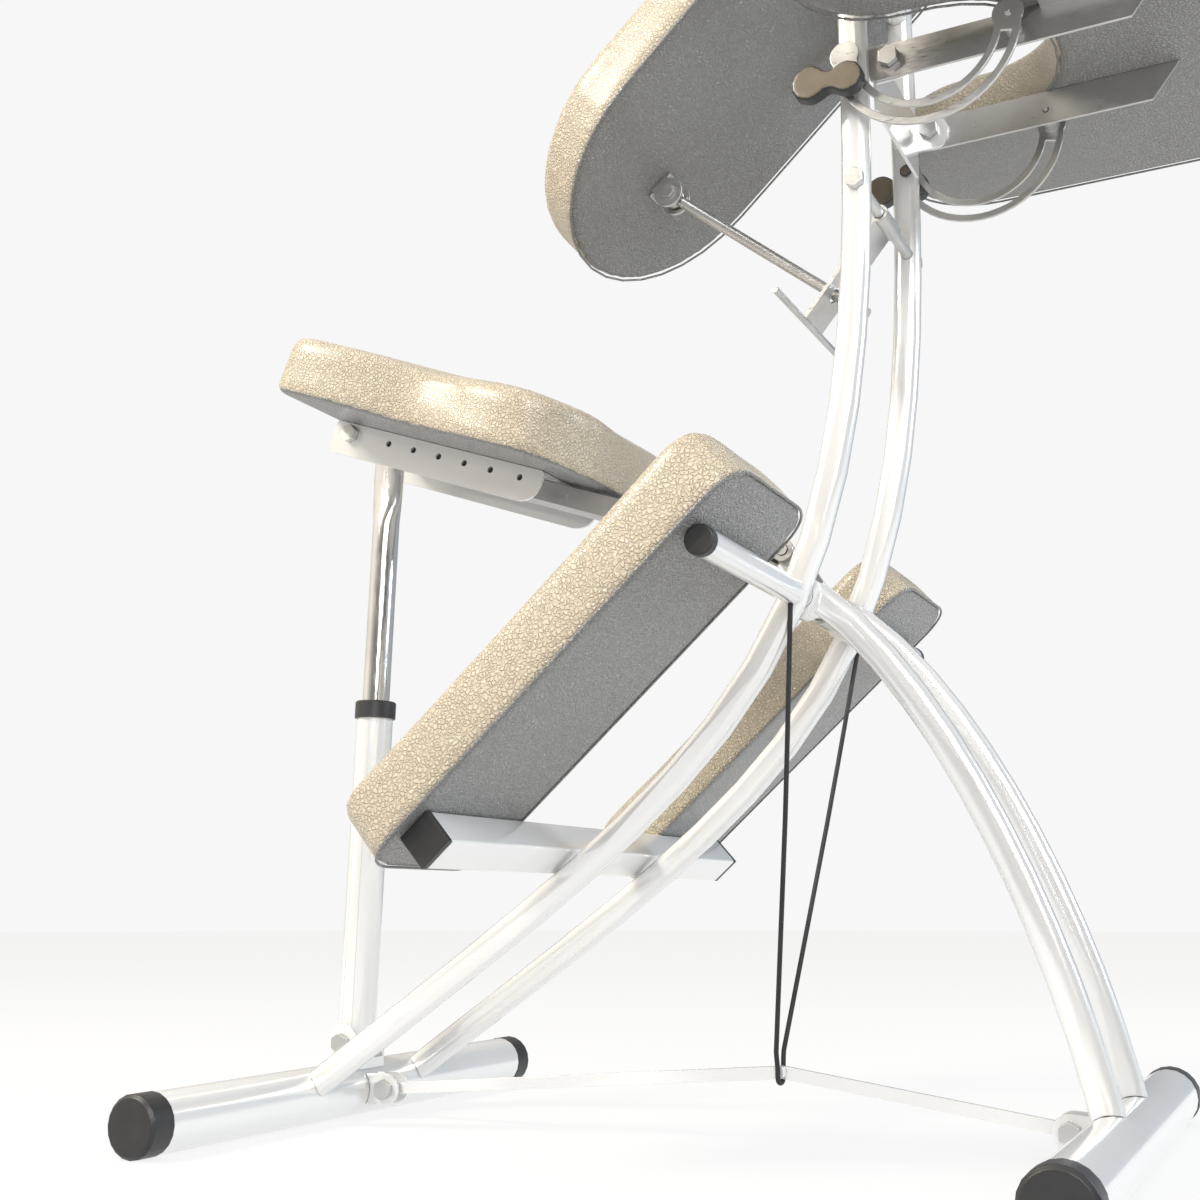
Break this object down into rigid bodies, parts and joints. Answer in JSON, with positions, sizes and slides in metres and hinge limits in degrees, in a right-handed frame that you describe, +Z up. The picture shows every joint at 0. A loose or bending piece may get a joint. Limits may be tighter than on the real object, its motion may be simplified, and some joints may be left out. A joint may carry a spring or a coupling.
{
  "type": "kneeling massage chair",
  "caption": "Folding kneeling massage chair: white tube frame, cream knee pads, seat, C-shaped armrest, chest pad and face cradle.",
  "frame": {"origin": "on the floor under the middle of the chair's bounding box", "axes": "+X to the sitter's left, -Y forwards (the way the sitter faces), +Z up"},
  "size_m": [0.484, 0.8734, 1.189],
  "materials": {
    "white_paint": "gloss",
    "brushed_steel": "satin",
    "chrome": "polished",
    "zinc": "satin",
    "black_plastic": "satin",
    "lever_plastic": "satin",
    "leather": "satin, pebbled",
    "back_cover": "satin, pebbled",
    "cord": "matte"
  },
  "bodies": {
    "frame": {"rear_base_tube": "white_paint", "rear_cap_left": "black_plastic", "rear_cap_right": "black_plastic", "main_tube_left": "white_paint", "main_tube_right": "white_paint", "knee_cross_tube": "white_paint", "knee_cross_cap_left": "black_plastic", "knee_cross_cap_right": "black_plastic", "knee_square_tube": "white_paint", "knee_square_cap_left": "black_plastic", "knee_square_cap_right": "black_plastic", "knee_pad_left": "leather", "knee_pad_right": "leather", "strap_rear_bracket": "white_paint", "strap_rear_bolt": "zinc", "post_bracket": "white_paint", "post_bolt": "zinc", "armrest_yoke": "white_paint", "brake_pivot_rod": "zinc", "head_tube": "white_paint", "rail_bracket": "brushed_steel", "elastic_cord": "cord"},
    "front_frame": {"front_base_tube": "white_paint", "front_cap_left": "black_plastic", "front_cap_right": "black_plastic", "front_leg_left": "white_paint", "front_leg_right": "white_paint", "strap_front_bracket": "white_paint", "strap_front_bolt": "zinc"},
    "strap_rear": {"strap_rear_bar": "white_paint"},
    "strap_front": {"strap_front_bar": "white_paint"},
    "post_lower": {"post_lower_tube": "white_paint", "post_collar": "black_plastic"},
    "post_upper": {"post_upper_tube": "chrome"},
    "seat": {"seat_bracket": "white_paint", "seat_bolt": "zinc", "seat_rail": "brushed_steel", "seat_board": "back_cover", "seat_pad": "leather"},
    "armrest": {"armrest_strip_left": "brushed_steel", "armrest_strip_right": "brushed_steel", "armrest_board": "back_cover", "armrest_pad": "leather", "armrest_bolt_left": "zinc", "armrest_bolt_right": "zinc"},
    "arc_left": {"tilt_arc_left": "brushed_steel"},
    "arc_right": {"tilt_arc_right": "brushed_steel"},
    "lever_left": {"cam_lever_left": "lever_plastic"},
    "lever_right": {"cam_lever_right": "lever_plastic"},
    "chest": {"chest_board": "back_cover", "chest_pad": "leather", "chest_hinge": "brushed_steel", "chest_clevis": "brushed_steel", "cradle_sockets": "brushed_steel"},
    "strut": {"chest_strut": "brushed_steel"},
    "brake": {"brake_plate": "brushed_steel"},
    "cradle_slider": {"cradle_rods": "brushed_steel"},
    "cradle": {"cradle_plate": "lever_plastic", "face_cushion": "leather"},
    "cradle_cam": {"cradle_lever": "lever_plastic"}
  },
  "joints": [
    {"name": "frame_fold", "type": "hinge", "parent": "frame", "child": "front_frame", "pos_m": [0, 0.02225, 0.363], "axis": [1, 0, 0], "range_deg": [0, 54], "deforming": ["elastic_cord"]},
    {"name": "strap_rear_swing", "type": "hinge", "parent": "frame", "child": "strap_rear", "pos_m": [0, 0.38225, 0.0215], "axis": [1, 0, 0], "range_deg": [-34, 0.5]},
    {"name": "strap_front_swing", "type": "hinge", "parent": "front_frame", "child": "strap_front", "pos_m": [0, -0.12425, 0.0225], "axis": [1, 0, 0], "range_deg": [-0.5, 53.5]},
    {"name": "seat_tilt", "type": "hinge", "parent": "frame", "child": "seat", "pos_m": [0, 0.04829, 0.4064], "axis": [1, 0, 0], "range_deg": [-3.8, 3.8]},
    {"name": "post_swing", "type": "hinge", "parent": "frame", "child": "post_lower", "pos_m": [0, 0.41625, 0.055], "axis": [1, 0, 0], "range_deg": [-1.5, 1.5]},
    {"name": "post_slide", "type": "slide", "parent": "post_lower", "child": "post_upper", "axis": [0, -0.0323, 0.9995], "range_m": [-0.0275, 0.0275]},
    {"name": "armrest_tilt", "type": "hinge", "parent": "frame", "child": "armrest", "pos_m": [0, -0.05475, 0.7417], "axis": [1, 0, 0], "range_deg": [-2, 60]},
    {"name": "arc_left_swing", "type": "hinge", "parent": "armrest", "child": "arc_left", "pos_m": [0, -0.14125, 0.738], "axis": [1, 0, 0], "range_deg": [-2, 27]},
    {"name": "arc_right_swing", "type": "hinge", "parent": "armrest", "child": "arc_right", "pos_m": [0, -0.14125, 0.738], "axis": [1, 0, 0], "range_deg": [-2, 27]},
    {"name": "lever_left_turn", "type": "hinge", "parent": "frame", "child": "lever_left", "pos_m": [0, -0.03409, 0.71522], "axis": [1, 0, 0], "range_deg": [-60, 25]},
    {"name": "lever_right_turn", "type": "hinge", "parent": "frame", "child": "lever_right", "pos_m": [0, -0.03409, 0.71522], "axis": [1, 0, 0], "range_deg": [-60, 25]},
    {"name": "chest_tilt", "type": "hinge", "parent": "frame", "child": "chest", "pos_m": [0, -0.03175, 0.85067], "axis": [1, 0, 0], "range_deg": [-8, 8]},
    {"name": "strut_swing", "type": "hinge", "parent": "chest", "child": "strut", "pos_m": [0, 0.13779, 0.70743], "axis": [1, 0, 0], "range_deg": [-7, 7]},
    {"name": "brake_release", "type": "hinge", "parent": "frame", "child": "brake", "pos_m": [0, -0.03175, 0.647], "axis": [1, 0, 0], "range_deg": [-1.5, 1.5]},
    {"name": "cradle_slide", "type": "slide", "parent": "chest", "child": "cradle_slider", "axis": [0, -0.7431, 0.6691], "range_m": [-0.04, 0.045]},
    {"name": "cradle_tilt", "type": "hinge", "parent": "cradle_slider", "child": "cradle", "pos_m": [0, -0.17422, 0.99711], "axis": [1, 0, 0], "range_deg": [-25, 30]},
    {"name": "cradle_lever_turn", "type": "hinge", "parent": "cradle_slider", "child": "cradle_cam", "pos_m": [0, -0.17422, 0.99711], "axis": [1, 0, 0], "range_deg": [-40, 40]}
  ],
  "couplings": [
    {"joint": "strap_rear_swing", "follows": "frame_fold", "ratio": -0.61796},
    {"joint": "strap_front_swing", "follows": "frame_fold", "ratio": 0.97519},
    {"joint": "post_swing", "follows": "seat_tilt", "ratio": 0.265},
    {"joint": "post_slide", "follows": "seat_tilt", "m_per_rad": 0.38},
    {"joint": "arc_left_swing", "follows": "armrest_tilt", "ratio": 0.42},
    {"joint": "arc_right_swing", "follows": "armrest_tilt", "ratio": 0.42},
    {"joint": "strut_swing", "follows": "chest_tilt", "ratio": -0.775}
  ]
}
